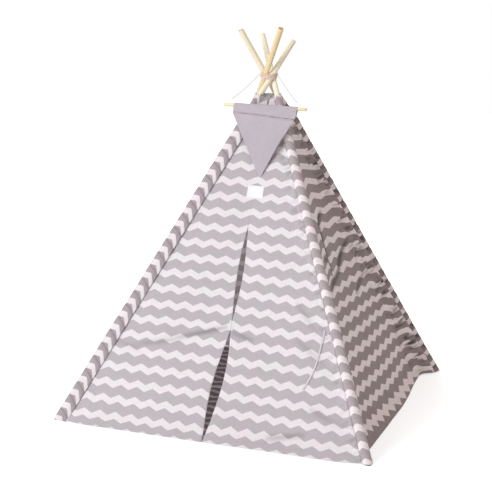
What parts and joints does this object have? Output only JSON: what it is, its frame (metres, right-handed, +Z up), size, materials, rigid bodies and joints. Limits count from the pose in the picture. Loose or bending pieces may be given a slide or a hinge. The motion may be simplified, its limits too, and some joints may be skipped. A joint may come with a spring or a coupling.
{
  "type": "kids play teepee",
  "caption": "Square play teepee: jointed wooden poles lashed near the top, a sleeved cloth cover with a slit door and hinged flaps, a floor mat, and a cloth pennant hung above the door.",
  "frame": {"origin": "on the floor under the middle of the pole crossing", "axes": "+Z up, the door faces -Y, +X is the right side seen from the door"},
  "size_m": [1.2562, 1.2562, 1.4782],
  "materials": {
    "pine": "sanded, bare",
    "pale_wood": "sanded, bare",
    "aluminium": "satin",
    "rubber": "matte",
    "printed_cotton": "plain weave with a grey and white chevron print",
    "plain_cotton": "plain weave",
    "label_cloth": "smooth woven, blank",
    "twill_tape": "twill",
    "hook_tape": "hook and loop pile",
    "rope": "twisted cotton",
    "string": "twisted cotton"
  },
  "bodies": {
    "cover": {"cover_right": "printed_cotton", "cover_back": "printed_cotton", "cover_left": "printed_cotton", "floor_mat": "printed_cotton", "lashing_rope": "rope", "pennant_loop": "string"},
    "pole_front_left": {"pole_fl_lower": "pine", "pole_fl_middle": "pine", "pole_fl_upper": "pine", "ferrule_fl_lower": "aluminium", "ferrule_fl_upper": "aluminium", "foot_cap_fl": "rubber", "sleeve_fl": "printed_cotton"},
    "pole_front_right": {"pole_fr_lower": "pine", "pole_fr_middle": "pine", "pole_fr_upper": "pine", "ferrule_fr_lower": "aluminium", "ferrule_fr_upper": "aluminium", "foot_cap_fr": "rubber", "sleeve_fr": "printed_cotton"},
    "pole_rear_right": {"pole_rr_lower": "pine", "pole_rr_middle": "pine", "pole_rr_upper": "pine", "ferrule_rr_lower": "aluminium", "ferrule_rr_upper": "aluminium", "foot_cap_rr": "rubber", "sleeve_rr": "printed_cotton"},
    "pole_rear_left": {"pole_rl_lower": "pine", "pole_rl_middle": "pine", "pole_rl_upper": "pine", "ferrule_rl_lower": "aluminium", "ferrule_rl_upper": "aluminium", "foot_cap_rl": "rubber", "sleeve_rl": "printed_cotton"},
    "web_left": {"front_web_left": "printed_cotton"},
    "web_right": {"front_web_right": "printed_cotton", "label_patch": "label_cloth", "tie_tape": "twill_tape"},
    "flap_left": {"door_flap_left": "printed_cotton", "closure_tab_left": "hook_tape"},
    "flap_right": {"door_flap_right": "printed_cotton", "closure_tab_right": "hook_tape"},
    "pennant": {"pennant_bar": "pale_wood", "pennant_cloth": "plain_cotton", "pennant_string_left": "string", "pennant_string_right": "string"}
  },
  "joints": [
    {"name": "fold_front_left", "type": "hinge", "parent": "cover", "child": "pole_front_left", "pos_m": [0.01237, -0.01237, 1.282], "axis": [0.7071, -0.7071, 0], "range_deg": [0, 24], "deforming": ["cover_left", "floor_mat", "front_web_left", "door_flap_left", "closure_tab_left"]},
    {"name": "fold_front_right", "type": "hinge", "parent": "cover", "child": "pole_front_right", "pos_m": [0.01237, 0.01237, 1.282], "axis": [0.7071, 0.7071, 0], "range_deg": [0, 24], "deforming": ["cover_right", "floor_mat", "front_web_right", "door_flap_right", "closure_tab_right", "label_patch", "tie_tape"]},
    {"name": "fold_rear_right", "type": "hinge", "parent": "cover", "child": "pole_rear_right", "pos_m": [-0.01237, 0.01237, 1.282], "axis": [-0.7071, 0.7071, 0], "range_deg": [0, 24], "deforming": ["cover_back", "floor_mat"]},
    {"name": "fold_rear_left", "type": "hinge", "parent": "cover", "child": "pole_rear_left", "pos_m": [-0.01237, -0.01237, 1.282], "axis": [-0.7071, -0.7071, 0], "range_deg": [0, 24], "deforming": ["floor_mat"]},
    {"name": "web_left_fold", "type": "hinge", "parent": "pole_front_left", "child": "web_left", "pos_m": [0.02714, -0.02714, 1.282], "axis": [-0.3903, -0.3903, -0.8339], "range_deg": [0, 68.5]},
    {"name": "web_right_fold", "type": "hinge", "parent": "pole_front_right", "child": "web_right", "pos_m": [-0.00241, -0.00241, 1.282], "axis": [-0.3903, 0.3903, 0.8339], "range_deg": [0, 75.5]},
    {"name": "flap_left_open", "type": "hinge", "parent": "web_left", "child": "flap_left", "pos_m": [-0.5521, -0.62176, 0.01218], "axis": [-0.5691, -0.3748, -0.7318], "range_deg": [0, 115]},
    {"name": "flap_right_open", "type": "hinge", "parent": "web_right", "child": "flap_right", "pos_m": [0.57684, -0.59768, 0.01217], "axis": [-0.5742, 0.3537, 0.7384], "range_deg": [0, 115]},
    {"name": "pennant_swing", "type": "hinge", "parent": "cover", "child": "pennant", "pos_m": [0, 0, 1.294], "axis": [-1, 0, 0], "range_deg": [0, 60]}
  ],
  "couplings": [
    {"joint": "fold_front_right", "follows": "fold_front_left", "ratio": 1},
    {"joint": "fold_rear_right", "follows": "fold_front_left", "ratio": 1},
    {"joint": "fold_rear_left", "follows": "fold_front_left", "ratio": 1},
    {"joint": "web_left_fold", "follows": "fold_front_left", "ratio": 2.833},
    {"joint": "web_right_fold", "follows": "fold_front_left", "ratio": 3.125}
  ]
}
